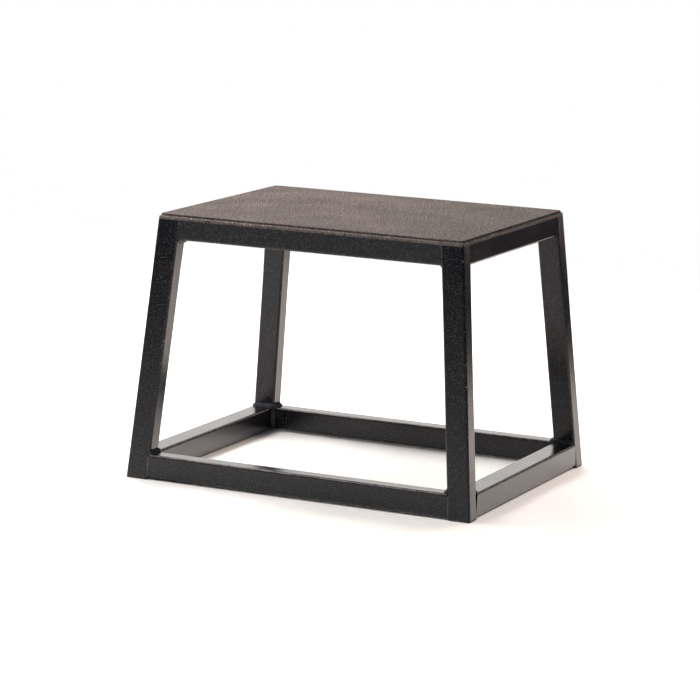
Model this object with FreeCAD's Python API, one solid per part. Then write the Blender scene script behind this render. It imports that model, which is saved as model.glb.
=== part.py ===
import FreeCAD, Part
import math
import os
from collections import namedtuple

# Plyo box: four splayed tube legs joined by rails at the top and the base, under a plate deck
# with a gritty non-slip sheet. Millimetres. X runs across the front, Y from front to rear and
# Z up, with the origin on the floor under the middle of the deck.

# Overall form, outside the tubes
overall_height = 450.0
base_width = 636.0
base_depth = 490.0
top_width = 556.0
top_depth = 424.0

# Steel tube of the legs and rails
leg_width = 40.0
leg_depth = 30.0
rail_height = 40.0
long_rail_depth = 30.0
side_rail_width = 40.0
tube_wall = 2.0
tube_corner_radius = 4.0

# Deck
plate_thickness = 2.0
plate_inset = 2.0
plate_corner_radius = 6.0
grip_thickness = 1.0
grip_inset = 1.0
brace_width = 30.0
brace_height = 20.0

# Facets across the rounded edge of a cap
rounding_facets = 3

# Steel caps that close the tops of the legs
leg_cap_thickness = 6.0
leg_cap_rounding = 4.0

# Plastic caps under the legs
foot_flange = 3.0
foot_rounding = 2.4
foot_plug_length = 16.0
foot_plug_wall = 2.0
foot_plug_gap = 1.0
foot_fin_count = 3
foot_fin_thickness = 1.5
foot_fin_gap = 0.1

# Welds
bead_radius = 4.5
bead_setback = 1.0
bead_sides = 8
bead_taper_share = 0.2
bead_end_share = 0.4
stitch_radius = 3.0
stitch_length = 25.0
stitch_pitch = 120.0

# Sizes that follow from the ones above
Vector = FreeCAD.Vector
ALONG_X = Vector(1, 0, 0)
ALONG_Y = Vector(0, 1, 0)
UP = Vector(0, 0, 1)
frame_top = overall_height - grip_thickness - plate_thickness
lean_x = (base_width - top_width) / 2 / frame_top
lean_y = (base_depth - top_depth) / 2 / frame_top
bore_width = leg_width - 2 * tube_wall
bore_depth = leg_depth - 2 * tube_wall
sharpest_bore_radius = 0.5
bore_radius = max(tube_corner_radius - tube_wall, sharpest_bore_radius)
reach = base_width + base_depth + overall_height

# A level of rails: the height of their undersides, the height at which their outer faces are
# flush with the leaning legs, and the height of the faces whose welds show inside the frame
Level = namedtuple("Level", "low flush seam")
base_level = Level(foot_flange, foot_flange + rail_height / 2, foot_flange + rail_height)
top_level = Level(frame_top - rail_height, frame_top, frame_top - rail_height)


def rounded_outline(width, depth, radius):
    """Rectangle with rounded corners about the origin, in the XY plane."""
    x = width / 2 - radius
    y = depth / 2 - radius
    centres = [Vector(x, y), Vector(-x, y), Vector(-x, -y), Vector(x, -y)]
    arcs = [Part.makeCircle(radius, centre, UP, 90 * i, 90 * i + 90) for i, centre in enumerate(centres)]
    edges = []
    for arc, following in zip(arcs, arcs[1:] + arcs[:1]):
        edges.append(arc)
        edges.append(Part.makeLine(arc.Vertexes[-1].Point, following.Vertexes[0].Point))
    return Part.Wire(edges)


def rounded_bar(width, depth, radius, length):
    """Upright bar with rounded edges, its middle at the origin."""
    bar = Part.Face(rounded_outline(width, depth, radius)).extrude(UP * length)
    bar.translate(UP * (-length / 2))
    return bar


def bevelled_bar(width, depth, length):
    """Upright bar with bevelled edges that clear the rounded corners of the bore."""
    x = width / 2
    y = depth / 2
    corners = []
    for side, end in ((1, 1), (-1, 1), (-1, -1), (1, -1)):
        cuts = [Vector(side * x, end * (y - bore_radius)), Vector(side * (x - bore_radius), end * y)]
        corners += cuts if side == end else cuts[::-1]
    bar = Part.Face(Part.makePolygon(corners + corners[:1])).extrude(UP * length)
    bar.translate(UP * (-length / 2))
    return bar


def solid_stock(width, depth, length):
    """The outside of a length of tube, filled."""
    return rounded_bar(width, depth, tube_corner_radius, length)


def tube_stock(width, depth, length):
    """A length of rectangular tube."""
    bore = rounded_bar(width - 2 * tube_wall, depth - 2 * tube_wall, bore_radius, length)
    return solid_stock(width, depth, length).cut(bore)


def leg_frame(side, end):
    """Place of a leg: Z up its centre line from the floor, X along its front face.

    side is -1 on the left and 1 on the right, end is -1 at the front and 1 at the rear.
    """
    axis = Vector(-side * lean_x, -end * lean_y, 1).normalize()
    across = (ALONG_X - axis * axis.dot(ALONG_X)).normalize()
    inward = axis.cross(across)
    outer_corner = Vector(side * base_width / 2, end * base_depth / 2, 0)
    centre = outer_corner - across * (side * leg_width / 2) - inward * (end * leg_depth / 2)
    return FreeCAD.Placement(centre, FreeCAD.Rotation(across, inward, axis, "ZXY"))


def on_leg(shape, side, end, low, high):
    """Lay a long upright shape along a leg and cut it level at two heights."""
    laid = shape.copy()
    laid.Placement = leg_frame(side, end).multiply(laid.Placement)
    slab = Part.makeBox(2 * reach, 2 * reach, high - low, Vector(-reach, -reach, low))
    return laid.common(slab)


def leg_core(side, end):
    """The filled outside of a leg from the floor to the top of the frame."""
    return on_leg(solid_stock(leg_width, leg_depth, 2 * reach), side, end, 0, frame_top)


def leg(side, end):
    """Leg tube, cut level above its foot cap and below its top cap."""
    stock = tube_stock(leg_width, leg_depth, 2 * reach)
    return on_leg(stock, side, end, foot_flange, frame_top - leg_cap_thickness)


def solid_through(rings):
    """Flat-faced solid through rings of points, closed at the first and the last."""
    count = len(rings[0])
    outlines = [rings[0], rings[-1]]
    for near, far in zip(rings, rings[1:]):
        outlines += [[near[i - 1], near[i], far[i], far[i - 1]] for i in range(count)]
    faces = [Part.Face(Part.makePolygon(outline + outline[:1])) for outline in outlines]
    return Part.Solid(Part.Shell(faces))


def round_edge(slice_of_leg, height, inward, radius):
    """Round a level slice of a leg at its top or bottom, in flat facets.

    height is that of the rounded end, and inward is the way into the slice: -1 at a top, 1 at a bottom.
    """
    end_face = min(slice_of_leg.Faces, key=lambda face: abs(face.CenterOfMass.z - height))
    outline = end_face.BoundBox
    beyond = 2 * slice_of_leg.BoundBox.ZLength
    steps = [(radius - beyond, beyond)]
    for i in range(rounding_facets + 1):
        angle = math.pi / 2 * i / rounding_facets
        steps.append((radius * (1 - math.cos(angle)), radius * (1 - math.sin(angle))))
    rings = []
    for inset, depth in steps:
        x = outline.XLength / 2 - inset
        y = outline.YLength / 2 - inset
        middle = Vector(outline.Center.x, outline.Center.y, height + inward * depth)
        rings.append([middle + Vector(*corner) for corner in ((x, y), (-x, y), (-x, -y), (x, -y))])
    return slice_of_leg.common(solid_through(rings))


def leg_cap(side, end):
    """Steel cap welded over the top of a leg, with its upper edge ground round."""
    cap = on_leg(solid_stock(leg_width, leg_depth, 2 * reach), side, end,
                 frame_top - leg_cap_thickness, frame_top)
    return round_edge(cap, frame_top, -1, leg_cap_rounding)


def foot_cap(side, end):
    """Plastic cap: a round-edged flange under the leg and a hollow finned plug up its bore."""
    flange = on_leg(solid_stock(leg_width, leg_depth, 2 * reach), side, end, 0, foot_flange)
    flange = round_edge(flange, 0, 1, foot_rounding)
    plug_width = bore_width - 2 * foot_plug_gap
    plug_depth = bore_depth - 2 * foot_plug_gap
    plug_top = foot_flange + foot_plug_length
    plug = on_leg(bevelled_bar(plug_width, plug_depth, 2 * reach), side, end, foot_flange, plug_top)
    fin = bevelled_bar(bore_width - 2 * foot_fin_gap, bore_depth - 2 * foot_fin_gap, 2 * reach)
    fin_pitch = foot_plug_length / (foot_fin_count + 1)
    fins = []
    for i in range(foot_fin_count):
        fin_low = foot_flange + fin_pitch * (i + 1) - foot_fin_thickness / 2
        fins.append(on_leg(fin, side, end, fin_low, fin_low + foot_fin_thickness))
    hollow = on_leg(bevelled_bar(plug_width - 2 * foot_plug_wall, plug_depth - 2 * foot_plug_wall, 2 * reach),
                    side, end, foot_flange, plug_top)
    return flange.fuse([plug] + fins).cut(hollow).removeSplitter()


def beyond_inner_side(side, end):
    """Everything past the face of a leg that a front or rear rail meets."""
    start = -leg_width / 2 if side > 0 else leg_width / 2 - reach
    block = Part.makeBox(reach, 2 * reach, 2 * reach, Vector(start, -reach, -reach))
    block.Placement = leg_frame(side, end).multiply(block.Placement)
    return block


def beyond_inner_end(side, end):
    """Everything past the face of a leg that a side rail meets."""
    start = -leg_depth / 2 if end > 0 else leg_depth / 2 - reach
    block = Part.makeBox(2 * reach, reach, 2 * reach, Vector(-reach, start, -reach))
    block.Placement = leg_frame(side, end).multiply(block.Placement)
    return block


def long_rail_middle(end, level):
    """Y of the middle of a front or rear rail."""
    return end * (base_depth / 2 - lean_y * level.flush - long_rail_depth / 2)


def side_rail_middle(side, level):
    """X of the middle of a left or right rail."""
    return side * (base_width / 2 - lean_x * level.flush - side_rail_width / 2)


def long_rail(stock, end, level):
    """Front or rear rail, mitred to the leaning faces of its two legs."""
    rail = stock(long_rail_depth, rail_height, base_width)
    rail.Placement = FreeCAD.Placement(
        Vector(0, long_rail_middle(end, level), level.low + rail_height / 2),
        FreeCAD.Rotation(ALONG_Y, UP, ALONG_X, "ZXY")).multiply(rail.Placement)
    return rail.cut([beyond_inner_side(side, end) for side in (-1, 1)])


def side_rail(stock, side, level):
    """Left or right rail, mitred to the leaning faces of its two legs and coped round the ends of
    the front and rear rails, which come past it where the legs lean away from the corner."""
    rail = stock(rail_height, side_rail_width, base_depth)
    rail.Placement = FreeCAD.Placement(
        Vector(side_rail_middle(side, level), 0, level.low + rail_height / 2),
        FreeCAD.Rotation(UP, ALONG_X, ALONG_Y, "ZXY")).multiply(rail.Placement)
    rail = rail.cut([beyond_inner_end(side, end) for end in (-1, 1)])
    return rail.cut([long_rail(solid_stock, end, level) for end in (-1, 1)])


def bead(start, finish, radius):
    """Faceted bead along a seam, drawn in towards both ends."""
    run = finish - start
    turn = FreeCAD.Rotation(UP, run)
    angles = [2 * math.pi * i / bead_sides for i in range(bead_sides)]
    spokes = [turn.multVec(Vector(math.cos(angle), math.sin(angle), 0)) for angle in angles]
    taper = ((0, bead_end_share), (bead_taper_share, 1), (1 - bead_taper_share, 1), (1, bead_end_share))
    rings = []
    for place, share in taper:
        rings.append([start + run * place + spoke * (radius * share) for spoke in spokes])
    return solid_through(rings)


def largest(shape):
    """The largest solid of a shape."""
    return max(shape.Solids, key=lambda piece: piece.Volume)


def on_plane(point, normal, through, direction):
    """Slide a point along a direction until it lies on a plane."""
    return point + direction * ((through - point).dot(normal) / direction.dot(normal))


def corner_weld(side, end, level):
    """Weld of two rails to a leg: over both rails, down the corner between them, and a filling
    of the groove beside the leg's rounded edge, ground flush with the outer face of the long rail."""
    frame = leg_frame(side, end)
    turn = frame.Rotation
    long_y = long_rail_middle(end, level)
    side_x = side_rail_middle(side, level)

    inner_side = frame.multVec(Vector(-side * leg_width / 2, 0, 0))
    half_run = long_rail_depth / 2 - tube_corner_radius
    over_long = [on_plane(Vector(0, long_y + step * half_run, level.seam),
                          turn.multVec(ALONG_X), inner_side, ALONG_X) for step in (-1, 1)]

    inner_end = frame.multVec(Vector(0, -end * leg_depth / 2, 0))
    half_run = side_rail_width / 2 - tube_corner_radius
    over_side = [on_plane(Vector(side_x + step * half_run, 0, level.seam),
                          turn.multVec(ALONG_Y), inner_end, ALONG_Y) for step in (-1, 1)]

    inner_corner = Vector(side_x - side * side_rail_width / 2, long_y - end * long_rail_depth / 2, 0)
    inset = bead_radius + bead_setback
    down_corner = [inner_corner + UP * (level.low + inset),
                   inner_corner + UP * (level.low + rail_height - inset)]

    groove_x = -leg_width / 2 if side > 0 else leg_width / 2 - tube_corner_radius
    groove_y = -leg_depth / 2 if end < 0 else leg_depth / 2 - tube_corner_radius
    groove = Part.makeBox(tube_corner_radius, tube_corner_radius, 2 * reach,
                          Vector(groove_x, groove_y, -reach))
    groove = on_leg(groove, side, end, level.low, level.low + rail_height - tube_corner_radius)
    rail_depth_band = Part.makeBox(2 * reach, long_rail_depth, 2 * reach,
                                   Vector(-reach, long_y - long_rail_depth / 2, -reach))
    groove = groove.common(rail_depth_band)

    beads = [bead(start, finish, bead_radius) for start, finish in (over_long, over_side, down_corner)]
    metal = [leg_core(side, end), long_rail(solid_stock, end, level), side_rail(solid_stock, side, level)]
    runs = [largest(run.cut(metal)) for run in beads]
    return Part.makeCompound(runs + [largest(groove.cut(metal + beads))])


def deck_sheet(width, depth, radius, low, thickness):
    """Flat sheet with rounded corners, lying at a height."""
    sheet = Part.Face(rounded_outline(width, depth, radius)).extrude(UP * thickness)
    sheet.translate(UP * low)
    return sheet


plate_width = top_width - 2 * plate_inset
plate_depth = top_depth - 2 * plate_inset


def deck_plate():
    """Steel plate on top of the frame."""
    return deck_sheet(plate_width, plate_depth, plate_corner_radius, frame_top, plate_thickness)


def grip_sheet():
    """Gritty sheet bonded to the plate."""
    return deck_sheet(plate_width - 2 * grip_inset, plate_depth - 2 * grip_inset,
                      plate_corner_radius - grip_inset, frame_top + plate_thickness, grip_thickness)


long_rail_inner_face = abs(long_rail_middle(1, top_level)) - long_rail_depth / 2
side_rail_inner_face = abs(side_rail_middle(1, top_level)) - side_rail_width / 2


def deck_brace(stock):
    """Brace under the middle of the plate, between the front and rear rails."""
    brace = stock(brace_height, brace_width, 2 * long_rail_inner_face)
    brace.Placement = FreeCAD.Placement(
        Vector(0, 0, frame_top - brace_height / 2),
        FreeCAD.Rotation(UP, ALONG_X, ALONG_Y, "ZXY")).multiply(brace.Placement)
    return brace


def brace_welds():
    """Upright beads that hold both ends of the brace."""
    inset = stitch_radius + bead_setback
    welds = []
    for end in (-1, 1):
        metal = [deck_brace(solid_stock), long_rail(solid_stock, end, top_level)]
        for side in (-1, 1):
            corner = Vector(side * brace_width / 2, end * long_rail_inner_face, 0)
            run = bead(corner + UP * (frame_top - brace_height + inset),
                       corner + UP * (frame_top - inset), stitch_radius)
            welds.append(run.cut(metal))
    return Part.makeCompound(welds)


def stitch_places(start, finish):
    """Even places for stitches along a stretch of rail, near their pitch."""
    span = finish - start
    count = max(1, round(span / stitch_pitch))
    return [start + span * (i + 0.5) / count for i in range(count)]


def deck_stitch_welds():
    """Short beads under the plate, along the inner faces of the top rails and clear of the brace."""
    height = frame_top - tube_corner_radius / 2
    half_run = stitch_length / 2
    bay = stitch_places(brace_width / 2, side_rail_inner_face)
    both_bays = [-x for x in bay] + bay
    welds = []
    for sign in (-1, 1):
        metal = [long_rail(solid_stock, sign, top_level), deck_plate()]
        for x in both_bays:
            middle = Vector(x, sign * long_rail_inner_face, height)
            run = bead(middle - ALONG_X * half_run, middle + ALONG_X * half_run, stitch_radius)
            welds.append(run.cut(metal))
        metal = [side_rail(solid_stock, sign, top_level), deck_plate()]
        for y in stitch_places(-long_rail_inner_face, long_rail_inner_face):
            middle = Vector(sign * side_rail_inner_face, y, height)
            run = bead(middle - ALONG_Y * half_run, middle + ALONG_Y * half_run, stitch_radius)
            welds.append(run.cut(metal))
    return Part.makeCompound(welds)


SIDES = {"left": -1, "right": 1}
ENDS = {"front": -1, "rear": 1}
LEVELS = {"base": base_level, "top": top_level}


def all_pieces():
    """Every piece of the box by name."""
    pieces = {}
    for end_name, end in ENDS.items():
        for side_name, side in SIDES.items():
            corner = end_name + "_" + side_name
            pieces[corner + "_leg"] = leg(side, end)
            pieces[corner + "_leg_cap"] = leg_cap(side, end)
            pieces[corner + "_foot_cap"] = foot_cap(side, end)
            for level_name, level in LEVELS.items():
                pieces[corner + "_" + level_name + "_weld"] = corner_weld(side, end, level)
    for level_name, level in LEVELS.items():
        for end_name, end in ENDS.items():
            pieces[end_name + "_" + level_name + "_rail"] = long_rail(tube_stock, end, level)
        for side_name, side in SIDES.items():
            pieces[side_name + "_" + level_name + "_rail"] = side_rail(tube_stock, side, level)
    pieces["deck_brace"] = deck_brace(tube_stock)
    pieces["brace_welds"] = brace_welds()
    pieces["deck_plate"] = deck_plate()
    pieces["deck_stitch_welds"] = deck_stitch_welds()
    pieces["grip_sheet"] = grip_sheet()
    return pieces


os.makedirs("parts", exist_ok=True)
for name, shape in all_pieces().items():
    shape.exportStep("parts/" + name + ".step")
    state = "valid" if shape.isValid() else "INVALID"
    print(name, len(shape.Solids), "solids", round(shape.Volume, 1), "mm3", state)
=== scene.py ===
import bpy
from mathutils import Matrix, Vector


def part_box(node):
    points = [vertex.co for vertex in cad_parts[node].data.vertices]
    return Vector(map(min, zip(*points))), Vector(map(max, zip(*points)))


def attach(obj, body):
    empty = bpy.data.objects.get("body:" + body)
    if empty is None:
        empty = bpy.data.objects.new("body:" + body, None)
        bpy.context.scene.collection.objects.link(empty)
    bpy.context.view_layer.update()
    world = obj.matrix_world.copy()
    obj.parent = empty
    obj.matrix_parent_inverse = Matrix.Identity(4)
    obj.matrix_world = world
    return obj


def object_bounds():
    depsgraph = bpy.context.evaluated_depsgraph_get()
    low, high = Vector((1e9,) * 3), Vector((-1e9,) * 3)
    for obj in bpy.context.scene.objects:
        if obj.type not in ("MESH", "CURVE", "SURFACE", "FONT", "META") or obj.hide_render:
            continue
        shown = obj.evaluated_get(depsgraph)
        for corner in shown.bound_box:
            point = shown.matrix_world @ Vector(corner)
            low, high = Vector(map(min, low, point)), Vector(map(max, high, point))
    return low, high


bl_info = {
    "name": "Plyo Box Finish",
    "version": (1, 0, 0),
    "blender": (4, 5, 0),
    "location": "View3D > Sidebar > Plyo Box",
    "description": "Paints a welded plyo box, lays its weld beads and deck grit, and sets a stage",
    "category": "Object",
}

import math
import random

import bmesh
import bpy
from bpy.props import FloatProperty, FloatVectorProperty, IntProperty, PointerProperty
from mathutils import Matrix, Vector

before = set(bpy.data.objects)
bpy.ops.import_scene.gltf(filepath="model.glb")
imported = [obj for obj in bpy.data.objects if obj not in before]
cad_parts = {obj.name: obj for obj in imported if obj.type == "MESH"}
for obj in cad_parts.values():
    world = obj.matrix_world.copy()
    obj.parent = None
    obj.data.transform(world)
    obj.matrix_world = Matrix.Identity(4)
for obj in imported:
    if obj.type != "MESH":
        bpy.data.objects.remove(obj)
cad_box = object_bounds()

MM = 0.001
UP = Vector((0, 0, 1))
SIDES = {"left": -1, "right": 1}
ENDS = {"front": -1, "rear": 1}
LEVELS = ("base", "top")
CORNERS = [(end, side) for end in ENDS for side in SIDES]
PAINTED = [f"{end}_{side}_{part}" for end, side in CORNERS for part in ("leg", "leg_cap")]
PAINTED += [f"{place}_{level}_rail" for place in (*ENDS, *SIDES) for level in LEVELS]
PAINTED += ["deck_brace", "deck_plate"]
FOOT_CAPS = [f"{end}_{side}_foot_cap" for end, side in CORNERS]
WELDS = [f"{end}_{side}_{level}_weld" for end, side in CORNERS for level in LEVELS]
WELDS += ["brace_welds", "deck_stitch_welds"]

# Layers of detail in a noise, and its mean value
PLAIN = 1.0
SOFT = 2.0
RICH = 3.0
RAGGED = 4.0
NOISE_MEAN = 0.5

# Tones of the loose grains
DARK_TONE = 0.0
BROWN_TONE = 0.55
LIGHT_TONE = 0.8
RUST_TONE = 0.9
QUARTZ_TONE = 1.0


# Node trees written as expressions

class Value:
    """A socket of a finish. Arithmetic on it adds Math nodes."""

    def __init__(self, finish, socket):
        self.finish = finish
        self.socket = socket

    def math(self, operation, first, second):
        """Math node of two entries."""
        return self.finish.node("ShaderNodeMath", {"operation": operation}, {0: first, 1: second})

    def __add__(self, other):
        return self.math("ADD", self, other)

    def __radd__(self, other):
        return self.math("ADD", other, self)

    def __sub__(self, other):
        return self.math("SUBTRACT", self, other)

    def __rsub__(self, other):
        return self.math("SUBTRACT", other, self)

    def __mul__(self, other):
        return self.math("MULTIPLY", self, other)

    def __rmul__(self, other):
        return self.math("MULTIPLY", other, self)


class Finish:
    """A node tree and the nodes that a finish is written with."""

    def __init__(self, tree):
        self.tree = tree
        tree.nodes.clear()

    def node(self, kind, settings=None, inputs=None, output=0):
        """Add a node: its settings first, then the values or links of its sockets."""
        node = self.tree.nodes.new(kind)
        for name, setting in (settings or {}).items():
            if name == "stops":
                self.set_stops(node.color_ramp, setting)
            else:
                setattr(node, name, setting)
        for name, entry in (inputs or {}).items():
            if isinstance(entry, Value):
                self.tree.links.new(entry.socket, node.inputs[name])
            else:
                node.inputs[name].default_value = entry
        return Value(self, node.outputs[output]) if node.outputs else None

    @staticmethod
    def set_stops(ramp, stops):
        """Give a ramp its places and colours."""
        while len(ramp.elements) < len(stops):
            ramp.elements.new(1.0)
        for element, (place, colour) in zip(ramp.elements, stops):
            element.position = place
            element.color = (*colour, 1.0)

    def place(self):
        """Place on the object, in metres."""
        return self.node("ShaderNodeTexCoord", output="Object")

    def noise(self, grain, detail=SOFT):
        """Soft noise with features of about one grain, in metres."""
        return self.node("ShaderNodeTexNoise", None,
                         {"Vector": self.place(), "Scale": 1 / grain, "Detail": detail}, "Fac")

    def cells(self, grain):
        """Distance from the middles of cells, each of about one grain, in metres."""
        return self.node("ShaderNodeTexVoronoi", None,
                         {"Vector": self.place(), "Scale": 1 / grain}, "Distance")

    def ramp(self, factor, stops):
        """Colour along a ramp."""
        return self.node("ShaderNodeValToRGB", {"stops": stops}, {"Fac": factor}, "Color")

    def step(self, value, low, high):
        """Smooth step from 0 at one value to 1 at another."""
        return self.node("ShaderNodeMapRange", {"interpolation_type": "SMOOTHSTEP"},
                         {"Value": value, "From Min": low, "From Max": high})

    def blend(self, factor, first, second):
        """Mix of two colours, each a link or three numbers."""
        colours = [entry if isinstance(entry, Value) else (*entry, 1.0) for entry in (first, second)]
        factor_socket, first_socket, second_socket, colour_output = 0, 6, 7, 2
        return self.node("ShaderNodeMix", {"data_type": "RGBA"},
                         {factor_socket: factor, first_socket: colours[0], second_socket: colours[1]},
                         colour_output)

    def bump(self, height, depth):
        """Relief of a depth in metres."""
        return self.node("ShaderNodeBump", None, {"Height": height, "Distance": depth, "Strength": 1.0})

    def principled(self, **inputs):
        """Principled shader with its sockets by name, an underscore for each space."""
        named = {name.replace("_", " "): entry for name, entry in inputs.items()}
        return self.node("ShaderNodeBsdfPrincipled", None, named)

    def surface(self, shader):
        """End the tree with its surface."""
        self.node("ShaderNodeOutputMaterial", None, {"Surface": shader})


def new_material(name):
    """A new material and the finish that fills it."""
    material = bpy.data.materials.new(name)
    material.use_nodes = True
    return material, Finish(material.node_tree)


# Finishes

def edge_masks(finish):
    """Masks of all rounded edges and of the upper ones alone: 0 on upright and level faces."""
    rounding = (0.15, 0.4)
    upward = (0.1, 0.4)
    normal = finish.node("ShaderNodeNewGeometry", output="Normal")
    squares = finish.node("ShaderNodeVectorMath", {"operation": "MULTIPLY"}, {0: normal, 1: normal})
    squareness = finish.node("ShaderNodeVectorMath", {"operation": "DOT_PRODUCT"},
                             {0: squares, 1: squares}, "Value")
    edge = finish.step(1 - squareness, *rounding)
    rise = finish.node("ShaderNodeSeparateXYZ", None, {0: normal}, "Z")
    return edge, edge * finish.step(rise, *upward)


def dust_and_highlight_mask(finish, paint):
    """1 on the frame's outer edge under the deck, less on the plate's own edge, and 0 elsewhere: where
    mineral dust and a painted highlight of the rounded edge go.
    """
    full_depth = 0.6
    plate_seam = 0.2 * MM
    outer_rim = (0.93, 0.96)
    deck_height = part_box("deck_plate")[0].z
    dust_and_highlight_foot = deck_height - paint.dust_and_highlight_reach
    dust_and_highlight_full = deck_height - paint.dust_and_highlight_reach * full_depth
    height = finish.node("ShaderNodeSeparateXYZ", None, {0: finish.place()}, "Z")
    under_deck = finish.step(height, dust_and_highlight_foot, dust_and_highlight_full)
    on_plate = finish.step(height, deck_height, deck_height + plate_seam)

    shares = Vector((1 / rail_box("right", "top")[1].x, 1 / rail_box("rear", "top")[1].y, 0))
    reach = finish.node("ShaderNodeVectorMath", {"operation": "MULTIPLY"},
                        {0: finish.place(), 1: shares})
    reach = finish.node("ShaderNodeVectorMath", {"operation": "ABSOLUTE"}, {0: reach})
    across = finish.node("ShaderNodeSeparateXYZ", None, {0: reach}, "X")
    along = finish.node("ShaderNodeSeparateXYZ", None, {0: reach}, "Y")
    outer = finish.step(across.math("MAXIMUM", across, along), *outer_rim)
    return outer * under_deck * (1 - on_plate * paint.plate_clean)


def powder_coat(name, paint, main_colour, roughness, wear):
    """Satin powder coat on steel: orange peel, texture points with a painted sparkle, worn edges, and
    dust with a painted highlight on the frame's upper edge under the deck.
    """
    speck_and_sparkle_range = (0.48, 0.74)
    thin_range = (0.3, 0.65)
    chip_range = (0.7, 0.8)
    dust_and_highlight_range = (0.45, 1.0)
    cloud_in_dust_and_highlight = 0.5
    grain_in_peel = 0.3
    cloud_dulling = 0.12
    grain_dulling = 0.10
    dust_dulling = 0.3

    material, finish = new_material(name)
    peel = finish.noise(paint.peel_size)
    grain = finish.noise(paint.grain_size, PLAIN)
    cloud = finish.noise(paint.cloud_size, RICH)
    colour = finish.blend(cloud, tuple(main_colour), tuple(paint.warm_colour))
    # Lighter bluish specks: partly the coat's own texture tone, partly a painted sparkle of the orange
    # peel.
    speck_and_sparkle = finish.step(finish.noise(paint.speck_and_sparkle_size), *speck_and_sparkle_range)
    colour = finish.blend(speck_and_sparkle, colour, tuple(paint.speck_and_sparkle_colour))

    edge, upper_edge = edge_masks(finish)
    thin = upper_edge * wear * finish.step(finish.noise(paint.thin_size, RICH), *thin_range)
    chip = edge * wear * finish.step(finish.noise(paint.chip_size, PLAIN), *chip_range)
    colour = finish.blend(thin, colour, tuple(paint.thin_colour))
    colour = finish.blend(chip, colour, tuple(paint.chip_colour))

    # Light brown specks in a band on the frame's upper edge under the deck: mineral dust and a painted
    # highlight of the rounded edge.
    dust_and_highlight_specks = finish.step(finish.noise(paint.dust_and_highlight_size) + cloud * cloud_in_dust_and_highlight, *dust_and_highlight_range)
    dust_and_highlight = dust_and_highlight_mask(finish, paint) * dust_and_highlight_specks
    colour = finish.blend(dust_and_highlight, colour, tuple(paint.dust_and_highlight_colour))

    dullness = roughness + (cloud - NOISE_MEAN) * cloud_dulling + (grain - NOISE_MEAN) * grain_dulling
    finish.surface(finish.principled(
        Base_Color=colour,
        Specular_IOR_Level=paint.gloss,
        Roughness=dullness + dust_and_highlight * dust_dulling,
        Normal=finish.bump(peel + grain * grain_in_peel, paint.peel_depth)))
    return material


def moulded_plastic(name, foot):
    """Matte moulded plastic with a fine spark-eroded grain and scuffs."""
    scuff_range = (0.5, 0.72)
    least_roughness = 0.5
    grain_dulling = 0.25

    material, finish = new_material(name)
    grain = finish.noise(foot.grain_size, RICH)
    scuff = finish.step(finish.noise(foot.scuff_size, RAGGED), *scuff_range)
    finish.surface(finish.principled(
        Base_Color=finish.blend(scuff, tuple(foot.colour), tuple(foot.scuff_colour)),
        Roughness=least_roughness + grain * grain_dulling,
        Normal=finish.bump(grain, foot.grain_depth)))
    return material


def grit_sheet(name, grip):
    """Mineral grit in resin: crowded grains of several browns, worn and dusty in clouds."""
    grains_per_crowd = 1.6
    crowd_share = 0.4
    clump_share = 0.4
    cloud_share = 0.2
    dark_place = 0.37
    light_place = 0.63
    cell_relief = 0.6
    least_roughness = 0.7
    crowd_dulling = 0.3

    material, finish = new_material(name)
    crowd = finish.noise(grip.grain_size * grains_per_crowd, RICH)
    cells = finish.cells(grip.grain_size)
    clump = finish.noise(grip.clump_size, RICH)
    cloud = finish.noise(grip.cloud_size, RICH)
    tone = crowd * crowd_share + clump * clump_share + cloud * cloud_share
    colour = finish.ramp(tone, [
        (dark_place, tuple(grip.dark_colour)),
        (NOISE_MEAN, tuple(grip.colour)),
        (light_place, tuple(grip.light_colour))])
    finish.surface(finish.principled(
        Base_Color=colour,
        Specular_IOR_Level=grip.gloss,
        Roughness=least_roughness + crowd * crowd_dulling,
        Normal=finish.bump(crowd - cells * cell_relief, grip.grain_depth)))
    return material


def loose_grain(name, grip):
    """Single mineral grains, each of its own tone."""
    least_roughness = 0.35
    roughness_range = 0.4

    material, finish = new_material(name)
    tone = finish.node("ShaderNodeAttribute", {"attribute_name": "tone"}, None, "Fac")
    colour = finish.ramp(tone, [
        (DARK_TONE, tuple(grip.dark_colour)),
        (BROWN_TONE, tuple(grip.colour)),
        (LIGHT_TONE, tuple(grip.light_colour)),
        (RUST_TONE, tuple(grip.rust_colour)),
        (QUARTZ_TONE, tuple(grip.quartz_colour))])
    finish.surface(finish.principled(
        Base_Color=colour,
        Roughness=least_roughness + finish.noise(grip.grain_size) * roughness_range))
    return material


# Pieces

def new_mesh(name, bm, material):
    """Turn a bmesh into a mesh with one finish."""
    mesh = bpy.data.meshes.new(name)
    bm.to_mesh(mesh)
    bm.free()
    mesh.materials.append(material)
    return mesh


def new_object(name, data):
    """A new object in the scene, from its mesh, lamp or camera."""
    thing = bpy.data.objects.new(name, data)
    bpy.context.scene.collection.objects.link(thing)
    return thing


def settle_order(bm):
    """Put edges and faces in the order of their corners, because extruding adds them in any order."""
    bm.verts.index_update()
    count = len(bm.verts)

    def rank(element):
        corners = [vert.index for vert in element.verts]
        return min(corners) * count + max(corners)

    bm.edges.sort(key=rank)
    bm.faces.sort(key=rank)


def finish_piece(name, bm, material):
    """Turn a bmesh into a piece that rides on the box."""
    settle_order(bm)
    bmesh.ops.recalc_face_normals(bm, faces=bm.faces)
    mesh = new_mesh(name, bm, material)
    mesh.shade_smooth()
    piece = new_object(name, mesh)
    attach(piece, "root")


def dress(nodes, material):
    """Give solid nodes a finish."""
    for name in nodes:
        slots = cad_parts[name].data.materials
        slots.clear()
        slots.append(material)


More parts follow.
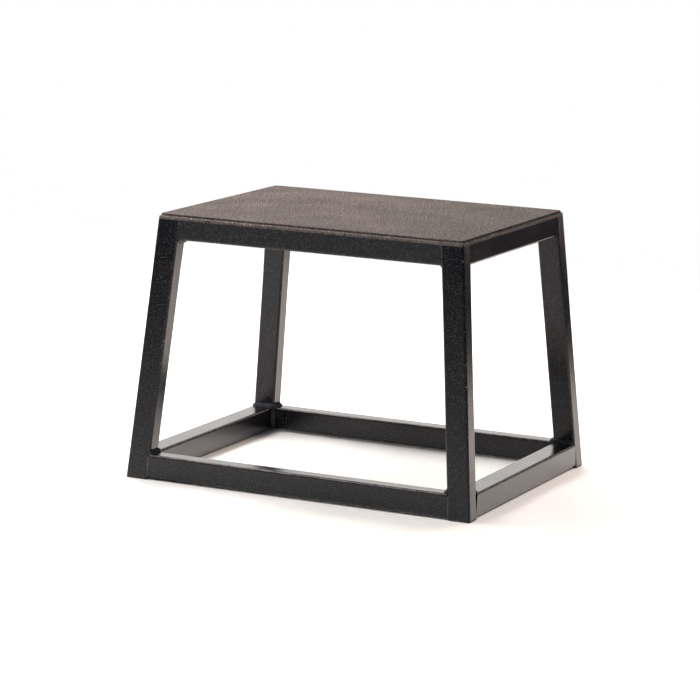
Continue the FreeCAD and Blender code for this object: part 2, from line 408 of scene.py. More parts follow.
def bead_profile(leg, weld):
    """Section of a fillet bead about its root: two legs on the metal and a bulging face between them.

    The middle of its face leads the legs by the crescent, so that the ripples curve.
    """
    steps = 8
    ripples_per_crescent = 0.6
    crescent = weld.ripple_pitch * ripples_per_crescent
    sunk = weld.sunk
    face = []
    for i in range(steps + 1):
        angle = math.pi / 2 * i / steps
        chord = 1 / (math.cos(angle) + math.sin(angle))
        radius = leg * (chord + (1 - chord) * weld.convexity)
        lead = crescent * math.sin(2 * angle)
        face.append(Vector((radius * math.cos(angle), radius * math.sin(angle), lead)))
    return [Vector((-sunk, -sunk, 0)), Vector((leg, -sunk, 0)), *face, Vector((-sunk, leg, 0))]


def seam_frame(point, first, second, along):
    """Axes of a bead at a point: along both metal faces and along the seam."""
    return Matrix.Translation(point) @ Matrix((first, second, along)).transposed().to_4x4()


def lay_bead(bm, frames, sizes, profile):
    """Sweep a bead along its frames, each ring drawn out of the last and set to its size."""
    verts = [bm.verts.new(frames[0] @ (point * sizes[0])) for point in profile]
    ring = [bm.edges.new((verts[i - 1], verts[i])) for i in range(len(verts))]
    bmesh.ops.edgeloop_fill(bm, edges=ring)
    for i in range(1, len(frames)):
        grown = bmesh.ops.extrude_edge_only(bm, edges=ring)["geom"]
        verts = {item for item in grown if isinstance(item, bmesh.types.BMVert)}
        edges = [item for item in grown if isinstance(item, bmesh.types.BMEdge)]
        ring = [edge for edge in edges if verts.issuperset(edge.verts)]
        move = frames[i] @ Matrix.Scale(sizes[i] / sizes[i - 1], 4) @ frames[i - 1].inverted()
        bmesh.ops.transform(bm, matrix=move, verts=list(verts))
    bmesh.ops.edgeloop_fill(bm, edges=ring)


def ripple_sizes(count, weld, rng):
    """Size of each ring of a bead: ripples of uneven height, drawn in towards both ends."""
    unevenness = (0.6, 1.3)
    end_size = 0.5
    growth_per_ripple = 0.25
    sizes = []
    for i in range(count):
        phase = i % weld.rings_per_ripple
        if phase == 0:
            height = 1 + weld.ripple_depth * rng.uniform(*unevenness)
        share = phase / (weld.rings_per_ripple - 1)
        to_end = min(i, count - 1 - i) / weld.rings_per_ripple
        taper = min(1.0, end_size + growth_per_ripple * to_end)
        sizes.append(taper * (1 + (height - 1) * (1 - (2 * share - 1) ** 2)))
    return sizes


def rail_box(place, level):
    """Lowest and highest corner of a rail."""
    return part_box(f"{place}_{level}_rail")


def lean():
    """Slant of the legs to the side and to the front or rear, read from the ends of the rails."""
    rise = rail_box("front", "top")[0].z - rail_box("front", "base")[0].z
    across = rail_box("front", "base")[1].x - rail_box("front", "top")[1].x
    inward = rail_box("right", "base")[1].y - rail_box("right", "top")[1].y
    return across / rise, inward / rise


def wrap_frames(end, side, level, weld):
    """Frames of a bead along a long rail's end, round the leg's edge and along a side rail's end."""
    lean_x, lean_y = lean()
    long_low, long_high = rail_box(end, level)
    side_low, side_high = rail_box(side, level)
    z = long_high.z if level == "base" else long_low.z
    rise = z - long_low.z
    out_x, out_y = SIDES[side], ENDS[end]
    face_x = out_x * (long_high.x - lean_x * rise)
    face_y = out_y * (side_high.y - lean_y * rise)
    outer_x = (side_high.x if out_x > 0 else side_low.x) - out_x * weld.end_inset
    outer_y = (long_high.y if out_y > 0 else long_low.y) - out_y * weld.end_inset
    axis = Vector((-out_x * lean_x, -out_y * lean_y, 1)).normalized() * (1 if level == "base" else -1)
    radius = weld.corner_radius
    centre = Vector((face_x + out_x * radius, face_y + out_y * radius, z))

    along_long = abs(outer_y - centre.y)
    along_side = abs(outer_x - centre.x)
    turn = radius * math.pi / 2
    total = along_long + turn + along_side
    count = round(total / weld.ripple_pitch) * weld.rings_per_ripple + 1
    frames = []
    for i in range(count):
        run = total * i / (count - 1)
        angle = min(max((run - along_long) / turn, 0.0), 1.0) * math.pi / 2
        outward = Vector((-out_x * math.cos(angle), -out_y * math.sin(angle), 0))
        along = Vector((out_x * math.sin(angle), -out_y * math.cos(angle), 0))
        point = centre + outward * radius
        point += along * (min(run - along_long, 0.0) + max(run - along_long - turn, 0.0))
        frames.append(seam_frame(point, outward, axis, along))
    return frames


def straight_frames(start, finish, first, second, weld):
    """Frames of a straight bead."""
    run = finish - start
    count = round(run.length / weld.ripple_pitch) * weld.rings_per_ripple + 1
    along = run.normalized()
    return [seam_frame(start + run * (i / (count - 1)), first, second, along) for i in range(count)]


def corner_drop_frames(end, side, level, weld):
    """Frames of the bead down the inner corner between two rails."""
    long_low, long_high = rail_box(end, level)
    side_low, side_high = rail_box(side, level)
    out_x, out_y = SIDES[side], ENDS[end]
    root_x = side_low.x if out_x > 0 else side_high.x
    root_y = long_low.y if out_y > 0 else long_high.y
    start = Vector((root_x, root_y, long_high.z - weld.end_inset))
    finish = Vector((root_x, root_y, long_low.z + weld.end_inset))
    return straight_frames(start, finish, Vector((-out_x, 0, 0)), Vector((0, -out_y, 0)), weld)


# Settings

class PaintSettings(bpy.types.PropertyGroup):
    """Powder coat of the frame."""

    colour: FloatVectorProperty(
        name="Colour", description="Main colour of the powder coat", subtype="COLOR",
        default=(0.0021, 0.0021, 0.0036))
    warm_colour: FloatVectorProperty(
        name="Warm colour", description="Colour in the warmer clouds", subtype="COLOR",
        default=(0.0034, 0.0027, 0.0032))
    # Light grey of the welds: partly a thinner coat, partly a painted reflection of the light that the
    # bulging beads mirror.
    weld_colour_and_reflection: FloatVectorProperty(
        name="Weld colour", description="Colour of the thin coat on welds", subtype="COLOR",
        default=(0.075, 0.075, 0.082))
    # Speck colour: the coat's texture tone and a painted sparkle.
    speck_and_sparkle_colour: FloatVectorProperty(
        name="Speck colour", description="Colour of the coat's texture points", subtype="COLOR",
        default=(0.034, 0.033, 0.042))
    thin_colour: FloatVectorProperty(
        name="Thin colour", description="Colour where the coat is worn thin on edges", subtype="COLOR",
        default=(0.13, 0.095, 0.074))
    chip_colour: FloatVectorProperty(
        name="Chip colour", description="Colour of bare steel where edges are chipped", subtype="COLOR",
        default=(0.22, 0.21, 0.20))
    # Light brown of the band under the deck: mineral dust and a painted highlight.
    dust_and_highlight_colour: FloatVectorProperty(
        name="Dust colour", description="Colour of mineral dust on the edge under the deck",
        subtype="COLOR", default=(0.17, 0.135, 0.11))
    gloss: FloatProperty(
        name="Gloss", description="Mirror strength of the coat seen straight on", subtype="FACTOR",
        default=0.35)
    wear: FloatProperty(
        name="Wear", description="Share of wear on the edges", subtype="FACTOR", default=0.8)
    thin_size: FloatProperty(
        name="Thin stretches", description="Length of stretches with a thin coat", unit="LENGTH",
        default=14 * MM)
    chip_size: FloatProperty(
        name="Chips", description="Distance between chips", unit="LENGTH", default=4 * MM)
    roughness: FloatProperty(
        name="Roughness", description="Mean roughness of the coat", subtype="FACTOR", default=0.22)
    weld_roughness: FloatProperty(
        name="Weld roughness", description="Mean roughness of the coat on welds", subtype="FACTOR",
        default=0.22)
    peel_size: FloatProperty(
        name="Orange peel", description="Width of the orange peel's dimples", unit="LENGTH",
        default=3.2 * MM)
    peel_depth: FloatProperty(
        name="Peel depth", description="Depth of the orange peel", unit="LENGTH", default=0.14 * MM)
    grain_size: FloatProperty(
        name="Grain", description="Width of the finer grain", unit="LENGTH", default=0.9 * MM)
    speck_and_sparkle_size: FloatProperty(
        name="Specks", description="Distance between the coat's texture points", unit="LENGTH",
        default=2.7 * MM)
    # Speck size and depth of the band under the deck that holds dust and a painted highlight.
    dust_and_highlight_size: FloatProperty(
        name="Dust", description="Width of the specks of dust", unit="LENGTH", default=2.2 * MM)
    dust_and_highlight_reach: FloatProperty(
        name="Dust reach", description="Depth of the dusty edge under the deck", unit="LENGTH",
        default=7.5 * MM)
    plate_clean: FloatProperty(
        name="Clean plate", description="Share of the dust that the plate's own edge lacks",
        subtype="FACTOR", default=0.6)
    cloud_size: FloatProperty(
        name="Clouds", description="Width of the clouds of thinner gloss", unit="LENGTH",
        default=45 * MM)


class FootSettings(bpy.types.PropertyGroup):
    """Plastic caps under the legs."""

    colour: FloatVectorProperty(
        name="Colour", description="Colour of the plastic", subtype="COLOR",
        default=(0.016, 0.016, 0.016))
    scuff_colour: FloatVectorProperty(
        name="Scuff colour", description="Colour where the floor has scuffed it", subtype="COLOR",
        default=(0.06, 0.056, 0.052))
    grain_size: FloatProperty(
        name="Grain", description="Width of the moulded grain", unit="LENGTH", default=0.5 * MM)
    grain_depth: FloatProperty(
        name="Grain depth", description="Depth of the moulded grain", unit="LENGTH", default=0.04 * MM)
    scuff_size: FloatProperty(
        name="Scuffs", description="Size of the scuffs", unit="LENGTH", default=6 * MM)


class GripSettings(bpy.types.PropertyGroup):
    """Gritty sheet on the deck."""

    colour: FloatVectorProperty(
        name="Colour", description="Main colour of the grit", subtype="COLOR",
        default=(0.174, 0.138, 0.117))
    dark_colour: FloatVectorProperty(
        name="Dark colour", description="Colour between the grains", subtype="COLOR",
        default=(0.071, 0.055, 0.047))
    light_colour: FloatVectorProperty(
        name="Light colour", description="Colour of worn grains", subtype="COLOR",
        default=(0.31, 0.246, 0.212))
    rust_colour: FloatVectorProperty(
        name="Rust colour", description="Colour of rusty grains", subtype="COLOR",
        default=(0.5, 0.22, 0.07))
    quartz_colour: FloatVectorProperty(
        name="Quartz colour", description="Colour of pale grains", subtype="COLOR",
        default=(0.75, 0.72, 0.66))
    gloss: FloatProperty(
        name="Gloss", description="Specular level of the resin", subtype="FACTOR", default=0.15)
    grain_size: FloatProperty(
        name="Grain", description="Width of a grain in the sheet", unit="LENGTH", default=1.1 * MM)
    grain_depth: FloatProperty(
        name="Grain depth", description="Height of the grains in the sheet", unit="LENGTH",
        default=0.35 * MM)
    clump_size: FloatProperty(
        name="Clumps", description="Width of clumps of grains", unit="LENGTH", default=6 * MM)
    cloud_size: FloatProperty(
        name="Clouds", description="Width of worn and dusty clouds", unit="LENGTH", default=90 * MM)
    stray_size: FloatProperty(
        name="Coarse grain", description="Width of the coarsest single grains", unit="LENGTH",
        default=2.1 * MM)
    patch_size: FloatProperty(
        name="Patch", description="Side of a patch of coarse grains", unit="LENGTH", default=60 * MM)
    grains_per_row: IntProperty(
        name="Grains per row", description="Coarse grains along a patch", default=12)
    sparkle_share: FloatProperty(
        name="Sparkles", description="Share of the coarse grains that are rusty or pale",
        subtype="FACTOR", default=0.03)
    edge_pitch: FloatProperty(
        name="Edge pitch", description="Mean distance between stray grains on the front's upper edge",
        unit="LENGTH", default=2.0 * MM)
    edge_rest: FloatProperty(
        name="Other edges", description="Stray grains at the sides and rear, as a share of the front's",
        subtype="FACTOR", default=0.3)
    edge_radius: FloatProperty(
        name="Edge radius", description="Radius of the frame's upper edge", unit="LENGTH",
        default=4 * MM)
    seed: IntProperty(
        name="Seed", description="Seed of the loose grains", default=3)


class WeldSettings(bpy.types.PropertyGroup):
    """Weld beads."""

    leg: FloatProperty(
        name="Leg", description="Leg length of the fillet welds", unit="LENGTH", default=6.4 * MM)
    drop_leg: FloatProperty(
        name="Corner leg", description="Leg length of the beads between two rails", unit="LENGTH",
        default=5 * MM)
    stitch_leg: FloatProperty(
        name="Stitch leg", description="Leg length of the stitches under the deck", unit="LENGTH",
        default=4 * MM)
    sunk: FloatProperty(
        name="Sunk", description="Depth of the bead's root in the metal", unit="LENGTH",
        default=0.8 * MM)
    convexity: FloatProperty(
        name="Convexity", description="Bulge of the bead's face", subtype="FACTOR", default=0.45)
    ripple_pitch: FloatProperty(
        name="Ripple pitch", description="Distance between ripples", unit="LENGTH", default=3.3 * MM)
    ripple_depth: FloatProperty(
        name="Ripple depth", description="Height of the ripples as a share of the bead",
        subtype="FACTOR", default=0.22)
    rings_per_ripple: IntProperty(
        name="Rings", description="Rings of the mesh in each ripple", default=5)
    end_inset: FloatProperty(
        name="End inset", description="Distance of a bead's end from the edge of the tube",
        unit="LENGTH", default=1.5 * MM)
    corner_radius: FloatProperty(
        name="Corner radius", description="Radius on which a bead turns round a leg", unit="LENGTH",
        default=4 * MM)
    stitch_length: FloatProperty(
        name="Stitch length", description="Length of a stitch under the deck", unit="LENGTH",
        default=27 * MM)
    stitches_per_bay: IntProperty(
        name="Stitches per bay", description="Stitches on a long rail, each side of the brace",
        default=2)
    stitches_per_side: IntProperty(
        name="Stitches per side", description="Stitches on a side rail", default=3)
    corner_seed: IntProperty(
        name="Corner seed", description="Seed of the ripples at the corners", default=7)
    deck_seed: IntProperty(
        name="Deck seed", description="Seed of the ripples under the deck", default=11)


class StageSettings(bpy.types.PropertyGroup):
    """Floor, light and camera."""

    azimuth: FloatProperty(
        name="Azimuth", description="Camera's turn to the right of the front", subtype="ANGLE",
        default=math.radians(25.71))
    elevation: FloatProperty(
        name="Elevation", description="Camera's angle above level", subtype="ANGLE",
        default=math.radians(10.75))
    roll: FloatProperty(
        name="Roll", description="Camera's roll", subtype="ANGLE", default=math.radians(1.27))
    distance: FloatProperty(
        name="Distance", description="Camera's distance from its target", unit="LENGTH", default=5.2357)
    target: FloatVectorProperty(
        name="Target", description="Point in the middle of the picture", subtype="XYZ", unit="LENGTH",
        default=(-0.02, 0, 0.2095))
    focal_length: FloatProperty(
        name="Focal length", description="Camera's focal length in millimetres", default=157.55)
    sensor_width: FloatProperty(
        name="Sensor width", description="Width of the camera's sensor in millimetres", default=36)
    view_depth: FloatProperty(
        name="View depth", description="Greatest distance that the camera shows", unit="LENGTH",
        default=100)
    floor_colour: FloatVectorProperty(
        name="Floor", description="Colour of the floor", subtype="COLOR", default=(0.73, 0.685, 0.648))
    floor_roughness: FloatProperty(
        name="Floor roughness", description="Roughness of the floor's sheen", subtype="FACTOR",
        default=0.5)
    floor_centre: FloatVectorProperty(
        name="Floor centre", description="Middle of the pale floor", size=2, subtype="XYZ",
        unit="LENGTH", default=(-0.9, -1.85))
    floor_radius: FloatProperty(
        name="Floor radius", description="Radius of the pale floor", unit="LENGTH", default=4.06)
    floor_fade: FloatProperty(
        name="Floor fade", description="Width over which the floor's rim fades", unit="LENGTH",
        default=0.85)
    room_colour: FloatVectorProperty(
        name="Room colour", description="Colour of the room beyond the floor", subtype="COLOR",
        default=(0.85, 0.92, 1.0))
    room: FloatProperty(
        name="Room", description="Brightness of the room beyond the floor", default=0.045)
    key_power: FloatProperty(
        name="Key power", description="Power of the softbox behind", unit="POWER", default=124)
    key_colour: FloatVectorProperty(
        name="Key colour", description="Colour of the softbox behind", subtype="COLOR",
        default=(1.0, 0.88, 0.81))
    key_place: FloatVectorProperty(
        name="Key place", description="Place of the softbox behind", subtype="XYZ", unit="LENGTH",
        default=(1.3, 2.7, 1.25))
    key_aim: FloatVectorProperty(
        name="Key aim", description="Point that the softbox behind looks at", subtype="XYZ",
        unit="LENGTH", default=(0.2, 0.3, 0))
    key_size: FloatVectorProperty(
        name="Key size", description="Width and height of the softbox behind", size=2, unit="LENGTH",
        default=(2.0, 1.4))
    strip_power: FloatProperty(
        name="Strip power", description="Power of the strip softbox overhead", unit="POWER",
        default=116)
    strip_place: FloatVectorProperty(
        name="Strip place", description="Place of the strip softbox overhead", subtype="XYZ",
        unit="LENGTH", default=(-1.52, 0.9, 2.6))
    strip_aim: FloatVectorProperty(
        name="Strip aim", description="Point that the strip softbox looks at", subtype="XYZ",
        unit="LENGTH", default=(-1.25, 0.9, 0))
    strip_size: FloatVectorProperty(
        name="Strip size", description="Length and width of the strip softbox", size=2, unit="LENGTH",
        default=(3.8, 1.3))
    front_power: FloatProperty(
        name="Front power", description="Power of the softbox over the front", unit="POWER", default=90)
    front_colour: FloatVectorProperty(
        name="Front colour", description="Colour of the softbox over the front", subtype="COLOR",
        default=(0.91, 0.95, 1.0))
    front_place: FloatVectorProperty(
        name="Front place", description="Place of the softbox over the front", subtype="XYZ",
        unit="LENGTH", default=(-1.3, -3.0, 3.0))
    front_aim: FloatVectorProperty(
        name="Front aim", description="Point that the softbox over the front looks at", subtype="XYZ",
        unit="LENGTH", default=(-1.05, -2.3, 0))
    front_size: FloatVectorProperty(
        name="Front size", description="Width and length of the softbox over the front", size=2,
        unit="LENGTH", default=(2.5, 3.0))
    fill_power: FloatProperty(
        name="Fill power", description="Power of the softbox that lightens the floor", unit="POWER",
        default=80)
    fill_place: FloatVectorProperty(
        name="Fill place", description="Place of the softbox that lightens the floor", subtype="XYZ",
        unit="LENGTH", default=(1.9, -1.2, 2.6))
    fill_aim: FloatVectorProperty(
        name="Fill aim", description="Point that the fill softbox looks at", subtype="XYZ",
        unit="LENGTH", default=(0.9, -0.2, 0))
    fill_size: FloatVectorProperty(
        name="Fill size", description="Width and length of the fill softbox", size=2, unit="LENGTH",
        default=(2.6, 2.6))
    card_colour: FloatVectorProperty(
        name="Card colour", description="Colour of the cards behind", subtype="COLOR",
        default=(1.0, 0.96, 0.93))
    card_radius: FloatProperty(
        name="Card radius", description="Distance of the cards", unit="LENGTH", default=2.9)
    card_sweep: FloatProperty(
        name="Card sweep", description="Angle that a card covers", subtype="ANGLE",
        default=math.radians(47))
    card_top: FloatProperty(
        name="Card top", description="Height of the cards' upper edge", unit="LENGTH", default=1.9)
    left_card_start: FloatProperty(
        name="Left card start", description="Angle at which the left card starts, from the right",
        subtype="ANGLE", default=math.radians(98))
    left_card_foot: FloatProperty(
        name="Left card foot", description="Height of the left card's lower edge", unit="LENGTH",
        default=0.05)
    left_card_glow: FloatProperty(
        name="Left card glow", description="Brightness of the left card", default=1.8)
    right_card_start: FloatProperty(
        name="Right card start", description="Angle at which the right card starts, from the right",
        subtype="ANGLE", default=math.radians(51))
    right_card_foot: FloatProperty(
        name="Right card foot", description="Height of the right card's lower edge", unit="LENGTH",
        default=0.7)
    right_card_glow: FloatProperty(
        name="Right card glow", description="Brightness of the right card", default=0.85)
    low_card_colour: FloatVectorProperty(
        name="Low card colour", description="Colour of the card under the right one", subtype="COLOR",
        default=(1.0, 0.78, 0.72))
    low_card_foot: FloatProperty(
        name="Low card foot", description="Height of the low card's lower edge", unit="LENGTH",
        default=0.2)
    low_card_glow: FloatProperty(
        name="Low card glow", description="Brightness of the low card", default=0.8)


SETTINGS = {
    "plyo_paint": PaintSettings,
    "plyo_foot": FootSettings,
    "plyo_grip": GripSettings,
    "plyo_weld": WeldSettings,
    "plyo_stage": StageSettings,
}


# Operators

class PLYO_OT_paint_frame(bpy.types.Operator):
    """Powder-coat the tubes, caps, brace and plate"""

    bl_idname = "plyo.paint_frame"
    bl_label = "Paint Frame"

    def execute(self, context):
        paint = context.scene.plyo_paint
        coat = powder_coat("satin_powder_coat", paint, paint.colour, paint.roughness, paint.wear)
        dress(PAINTED, coat)
        return {"FINISHED"}


class PLYO_OT_fit_foot_caps(bpy.types.Operator):
    """Finish the plastic caps under the legs"""

    bl_idname = "plyo.fit_foot_caps"
    bl_label = "Fit Foot Caps"

    def execute(self, context):
        dress(FOOT_CAPS, moulded_plastic("matte_foot_plastic", context.scene.plyo_foot))
        return {"FINISHED"}


class PLYO_OT_lay_corner_welds(bpy.types.Operator):
    """Lay rippled beads round the legs and down the inner corners of the rails"""

    bl_idname = "plyo.lay_corner_welds"
    bl_label = "Lay Corner Welds"

    def execute(self, context):
        weld = context.scene.plyo_weld
        paint = context.scene.plyo_paint
        no_wear = 0.0
        # The welds' lighter grey is partly a painted reflection.
        coat = powder_coat("weld_powder_coat", paint, paint.weld_colour_and_reflection, paint.weld_roughness, no_wear)
        dress(WELDS, coat)
        wrap = bead_profile(weld.leg, weld)
        drop = bead_profile(weld.drop_leg, weld)
        rng = random.Random(weld.corner_seed)
        for end, side in CORNERS:
            for level in LEVELS:
                bm = bmesh.new()
                for frames, profile in ((wrap_frames(end, side, level, weld), wrap),
                                        (corner_drop_frames(end, side, level, weld), drop)):
                    lay_bead(bm, frames, ripple_sizes(len(frames), weld, rng), profile)
                finish_piece(f"{end}_{side}_{level}_beads", bm, coat)
        return {"FINISHED"}


class PLYO_OT_lay_deck_welds(bpy.types.Operator):
    """Lay rippled stitches under the plate and beads at the ends of the brace"""

    bl_idname = "plyo.lay_deck_welds"
    bl_label = "Lay Deck Welds"

    def execute(self, context):
        weld = context.scene.plyo_weld
        coat = bpy.data.materials["weld_powder_coat"]
        profile = bead_profile(weld.stitch_leg, weld)
        rng = random.Random(weld.deck_seed)
        bm = bmesh.new()
        for frames in self.stitches(weld) + self.brace_ends(weld):
            lay_bead(bm, frames, ripple_sizes(len(frames), weld, rng), profile)
        finish_piece("deck_weld_beads", bm, coat)
        return {"FINISHED"}

    @staticmethod
    def places(start, finish, count):
        """Middles of equal shares of a length."""
        return [start + (finish - start) * (i + 0.5) / count for i in range(count)]

    def stitches(self, weld):
        """Frames of the stitches along the inner faces of the top rails."""
        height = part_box("deck_plate")[0].z
        inner_x = rail_box("right", "top")[0].x
        inner_y = rail_box("rear", "top")[0].y
        bay = self.places(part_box("deck_brace")[1].x, inner_x, weld.stitches_per_bay)
        runs = []
        for sign in (-1, 1):
            for x in bay + [-x for x in bay]:
                middle = Vector((x, sign * inner_y, height))
                runs.append((middle, Vector((1, 0, 0)), Vector((0, -sign, 0))))
            for y in self.places(-inner_y, inner_y, weld.stitches_per_side):
                middle = Vector((sign * inner_x, y, height))
                runs.append((middle, Vector((0, 1, 0)), Vector((-sign, 0, 0))))
        reach = weld.stitch_length / 2
        return [straight_frames(middle - along * reach, middle + along * reach, inward, -UP, weld)
                for middle, along, inward in runs]

    @staticmethod
    def brace_ends(weld):
        """Frames of the upright beads at the ends of the brace."""
        low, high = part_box("deck_brace")
        frames = []
        for x, outward in ((low.x, -1), (high.x, 1)):
            for y, inward in ((low.y, 1), (high.y, -1)):
                bottom = Vector((x, y, low.z + weld.stitch_leg))
                top = Vector((x, y, high.z - weld.stitch_leg))
                off_brace = Vector((outward, 0, 0))
                off_rail = Vector((0, inward, 0))
                frames.append(straight_frames(bottom, top, off_brace, off_rail, weld))
        return frames


class PLYO_OT_lay_grip(bpy.types.Operator):
    """Finish the gritty sheet and strew coarse grains on it and along the frame's edges"""

    bl_idname = "plyo.lay_grip"
    bl_label = "Lay Grip"

    def execute(self, context):
        grip = context.scene.plyo_grip
        dress(["grip_sheet"], grit_sheet("mineral_grit", grip))
        grain = loose_grain("loose_mineral_grain", grip)
        rng = random.Random(grip.seed)
        for name, strew in (("coarse_grains", self.strew_sheet), ("edge_grains", self.strew_edges)):
            bm = bmesh.new()
            strew(bm, bm.verts.layers.float.new("tone"), grip, rng)
            finish_piece(name, bm, grain)
        return {"FINISHED"}

    @staticmethod
    def add_grain(bm, tone, place, width, shade, rng):
        """One angular grain, half sunk."""
        spread = (0.7, 1.2)
        height = (0.5, 0.9)
        angle = rng.uniform(0, math.tau)
        axis = Vector((rng.random(), rng.random(), 1)).normalized()
        turn = Matrix.Rotation(angle, 4, axis)
        shape = Matrix.Diagonal((rng.uniform(*spread), rng.uniform(*spread), rng.uniform(*height), 1))
        made = bmesh.ops.create_icosphere(bm, subdivisions=1, radius=width / 2,
                                          matrix=Matrix.Translation(place) @ turn @ shape)
        for vert in made["verts"]:
            vert[tone] = shade
        return made["verts"]

    def strew_sheet(self, bm, tone, grip, rng):
        """Patches of grains, turned and set side by side over the sheet."""
        widths = (0.45, 1.0)
        darkest, lightest, commonest = 0.1, 0.78, 0.58
        quarter_turns = 4
        low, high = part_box("grip_sheet")
        pitch = grip.patch_size / grip.grains_per_row
        patch = []
        for i in range(grip.grains_per_row ** 2):
            row, column = divmod(i, grip.grains_per_row)
            place = Vector(((column + rng.random()) * pitch, (row + rng.random()) * pitch, 0))
            place -= Vector((grip.patch_size / 2, grip.patch_size / 2, 0))
            width = grip.stray_size * rng.uniform(*widths)
            shade = rng.triangular(darkest, lightest, commonest)
            if rng.random() < grip.sparkle_share:
                shade = rng.uniform(LIGHT_TONE, QUARTZ_TONE)
            patch += self.add_grain(bm, tone, place, width, shade, rng)
        faces = list({face for vert in patch for face in vert.link_faces})

        span = high - low - Vector((grip.stray_size, grip.stray_size, 0)) * 2
        columns = round(span.x / grip.patch_size)
        rows = round(span.y / grip.patch_size)
        stretch_x = span.x / columns / grip.patch_size
        stretch_y = span.y / rows / grip.patch_size
        fit = Matrix.Diagonal((stretch_x, stretch_y, 1, 1))
        for i in range(columns * rows):
            row, column = divmod(i, columns)
            place = Vector(((column + 0.5) / columns - 0.5, (row + 0.5) / rows - 0.5, 0))
            centre = (low + high) / 2 + Vector((place.x * span.x, place.y * span.y, 0))
            centre.z = high.z
            copy = bmesh.ops.duplicate(bm, geom=patch + faces)["geom"]
            verts = [item for item in copy if isinstance(item, bmesh.types.BMVert)]
            turn = Matrix.Rotation(rng.randrange(quarter_turns) * math.pi / 2, 4, "Z")
            bmesh.ops.transform(bm, matrix=Matrix.Translation(centre) @ fit @ turn, verts=verts)
        bmesh.ops.delete(bm, geom=patch, context="VERTS")

    def strew_edges(self, bm, tone, grip, rng):
        """Stray grains on the frame's rounded upper edges, more of them in front and to the left."""
        crowding = 1.6
        lean_degrees = (35, 70)
        least_width = 0.5
        paleness = 0.5
        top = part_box("deck_plate")[0].z
        reach_x = rail_box("right", "top")[1].x
        reach_y = rail_box("rear", "top")[1].y
        radius = grip.edge_radius
        end_gap = 2 * radius
        front_pitch = grip.edge_pitch
        other_pitch = grip.edge_pitch / grip.edge_rest
        edges = [(True, -1, front_pitch), (True, 1, other_pitch),
                 (False, -1, other_pitch), (False, 1, other_pitch)]
        for along_x, sign, pitch in edges:
            length, reach = (2 * reach_x, reach_y) if along_x else (2 * reach_y, reach_x)
            for _ in range(round(length / pitch)):
                run = (rng.random() ** crowding - 0.5) * (length - 2 * end_gap)
                angle = math.radians(rng.uniform(*lean_degrees))
                out = sign * (reach - radius * (1 - math.sin(angle)))
                height = top - radius * (1 - math.cos(angle))
                place = Vector((run, out, height)) if along_x else Vector((out, run, height))
                width = grip.stray_size * (least_width + rng.random() ** 2)
                shade = rng.random() ** paleness
                self.add_grain(bm, tone, place, width, shade, rng)


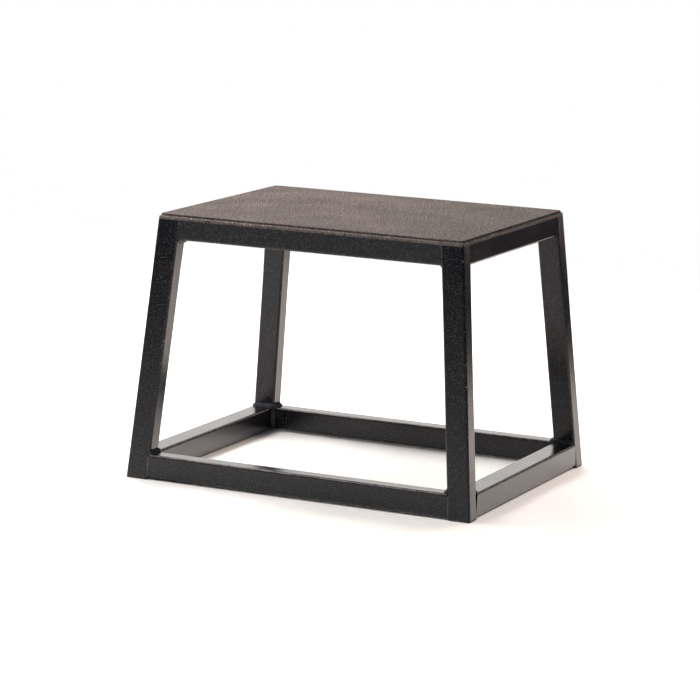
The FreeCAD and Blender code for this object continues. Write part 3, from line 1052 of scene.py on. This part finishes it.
class PLYO_OT_set_stage(bpy.types.Operator):
    """Set the floor, the light and the camera"""

    bl_idname = "plyo.set_stage"
    bl_label = "Set Stage"

    def execute(self, context):
        stage = context.scene.plyo_stage
        context.scene.view_settings.view_transform = "Standard"
        floor = self.lay_floor(stage)
        self.light_room(context.scene, stage)
        key = self.hang_softbox("key_softbox", stage.key_place, stage.key_aim, stage.key_size,
                                stage.key_power, stage.key_colour)
        self.hang_softbox("strip_softbox", stage.strip_place, stage.strip_aim, stage.strip_size,
                          stage.strip_power)
        self.hang_softbox("front_softbox", stage.front_place, stage.front_aim, stage.front_size,
                          stage.front_power, stage.front_colour)
        fill = self.hang_softbox("fill_softbox", stage.fill_place, stage.fill_aim, stage.fill_size,
                                 stage.fill_power)
        for lamp in (key, fill):
            self.light_only(lamp, floor)
        self.stand_card("left_card", stage.left_card_start, stage.left_card_foot, stage.card_top,
                        stage.left_card_glow, stage.card_colour, stage)
        self.stand_card("right_card", stage.right_card_start, stage.right_card_foot, stage.card_top,
                        stage.right_card_glow, stage.card_colour, stage)
        self.stand_card("low_card", stage.right_card_start, stage.low_card_foot, stage.right_card_foot,
                        stage.low_card_glow, stage.low_card_colour, stage)
        self.aim_camera(context.scene, stage)
        return {"FINISHED"}

    @staticmethod
    def lay_floor(stage):
        """Round pale floor, a hair under the feet, whose rim fades into the room."""
        strong_sheen = 1.0
        segments = 96
        drop = 0.3 * MM
        material, finish = new_material("pale_floor")
        centre = (*stage.floor_centre, 0)
        gap = finish.node("ShaderNodeVectorMath", {"operation": "DISTANCE"},
                          {0: finish.place(), 1: centre}, "Value")
        fade = finish.step(gap, stage.floor_radius - stage.floor_fade, stage.floor_radius)
        pale = finish.principled(Base_Color=(*stage.floor_colour, 1.0), Roughness=stage.floor_roughness,
                                 Specular_IOR_Level=strong_sheen)
        clear = finish.node("ShaderNodeBsdfTransparent")
        finish.surface(finish.node("ShaderNodeMixShader", None, {0: fade, 1: pale, 2: clear}))
        bm = bmesh.new()
        bmesh.ops.create_circle(bm, cap_ends=True, segments=segments, radius=stage.floor_radius)
        bmesh.ops.translate(bm, vec=(*stage.floor_centre, cad_box[0][2] - drop), verts=bm.verts)
        floor = new_object("floor", new_mesh("floor", bm, material))
        return floor

    @staticmethod
    def light_room(scene, stage):
        """White behind the box, and a dim room in reflections."""
        world = bpy.data.worlds.new("studio")
        world.use_nodes = True
        scene.world = world
        finish = Finish(world.node_tree)
        white = finish.node("ShaderNodeBackground", None, {"Color": (1, 1, 1, 1), "Strength": 1.0})
        dim = finish.node("ShaderNodeBackground", None,
                          {"Color": (*stage.room_colour, 1.0), "Strength": stage.room})
        seen = finish.node("ShaderNodeLightPath", output="Is Camera Ray")
        mixed = finish.node("ShaderNodeMixShader", None, {0: seen, 1: dim, 2: white})
        finish.node("ShaderNodeOutputWorld", None, {"Surface": mixed})

    @staticmethod
    def hang_softbox(name, place, aim, size, power, colour=(1, 1, 1)):
        """Rectangular softbox that looks at a point."""
        light = bpy.data.lights.new(name, "AREA")
        light.shape = "RECTANGLE"
        light.size, light.size_y = size
        light.energy = power
        light.color = colour
        lamp = new_object(name, light)
        look = Vector(aim) - Vector(place)
        turn = look.to_track_quat("-Z", "Y").to_matrix().to_4x4()
        lamp.matrix_world = Matrix.Translation(place) @ turn
        return lamp

    @staticmethod
    def light_only(lamp, thing):
        """Keep a lamp's light to one thing."""
        lit = bpy.data.collections.new(f"lit_by_{lamp.name}")
        lit.objects.link(thing)
        lamp.light_linking.receiver_collection = lit

    @staticmethod
    def stand_card(name, start, foot, top, glow, colour, stage):
        """Bright curved card behind the box, which upper faces and edges mirror."""
        steps = 16
        material, finish = new_material(name)
        finish.surface(finish.node("ShaderNodeEmission", None,
                                   {"Color": (*colour, 1.0), "Strength": glow}))
        bm = bmesh.new()
        corner = Matrix.Rotation(start, 4, "Z") @ Vector((stage.card_radius, 0, 0))
        ends = [bm.verts.new(corner + UP * height) for height in (foot, top)]
        bmesh.ops.spin(bm, geom=[*ends, bm.edges.new(ends)], cent=(0, 0, 0), axis=UP,
                       angle=stage.card_sweep, steps=steps)
        card = new_object(name, new_mesh(name, bm, material))
        card.visible_camera = False
        card.visible_shadow = False

    @staticmethod
    def aim_camera(scene, stage):
        """Camera at its azimuth, elevation and roll about the target."""
        data = bpy.data.cameras.new("camera")
        data.sensor_width = stage.sensor_width
        data.lens = stage.focal_length
        data.clip_end = stage.view_depth
        camera = new_object("camera", data)
        turn = Matrix.Rotation(stage.azimuth, 4, "Z")
        turn = turn @ Matrix.Rotation(math.pi / 2 - stage.elevation, 4, "X")
        turn = turn @ Matrix.Rotation(stage.roll, 4, "Z")
        back = turn.to_3x3() @ UP
        camera.matrix_world = Matrix.Translation(Vector(stage.target) + back * stage.distance) @ turn
        scene.camera = camera


OPERATORS = (
    PLYO_OT_paint_frame,
    PLYO_OT_fit_foot_caps,
    PLYO_OT_lay_corner_welds,
    PLYO_OT_lay_deck_welds,
    PLYO_OT_lay_grip,
    PLYO_OT_set_stage,
)


class PLYO_PT_sidebar(bpy.types.Panel):
    """Steps that finish the plyo box, in order"""

    bl_label = "Plyo Box"
    bl_idname = "PLYO_PT_sidebar"
    bl_space_type = "VIEW_3D"
    bl_region_type = "UI"
    bl_category = "Plyo Box"

    def draw(self, context):
        for operator in OPERATORS:
            self.layout.operator(operator.bl_idname)


def register():
    """Add the settings, the operators and the panel."""
    for settings in SETTINGS.values():
        bpy.utils.register_class(settings)
    for name, settings in SETTINGS.items():
        setattr(bpy.types.Scene, name, PointerProperty(type=settings))
    for operator in OPERATORS:
        bpy.utils.register_class(operator)
    bpy.utils.register_class(PLYO_PT_sidebar)


def unregister():
    """Take away what register added."""
    bpy.utils.unregister_class(PLYO_PT_sidebar)
    for operator in reversed(OPERATORS):
        bpy.utils.unregister_class(operator)
    for name in SETTINGS:
        delattr(bpy.types.Scene, name)
    for settings in reversed(SETTINGS.values()):
        bpy.utils.unregister_class(settings)


def main():
    """Finish the box step by step."""
    register()
    bpy.ops.plyo.paint_frame()
    bpy.ops.plyo.fit_foot_caps()
    bpy.ops.plyo.lay_corner_welds()
    bpy.ops.plyo.lay_deck_welds()
    bpy.ops.plyo.lay_grip()
    bpy.ops.plyo.set_stage()


if __name__ == "__main__":
    main()
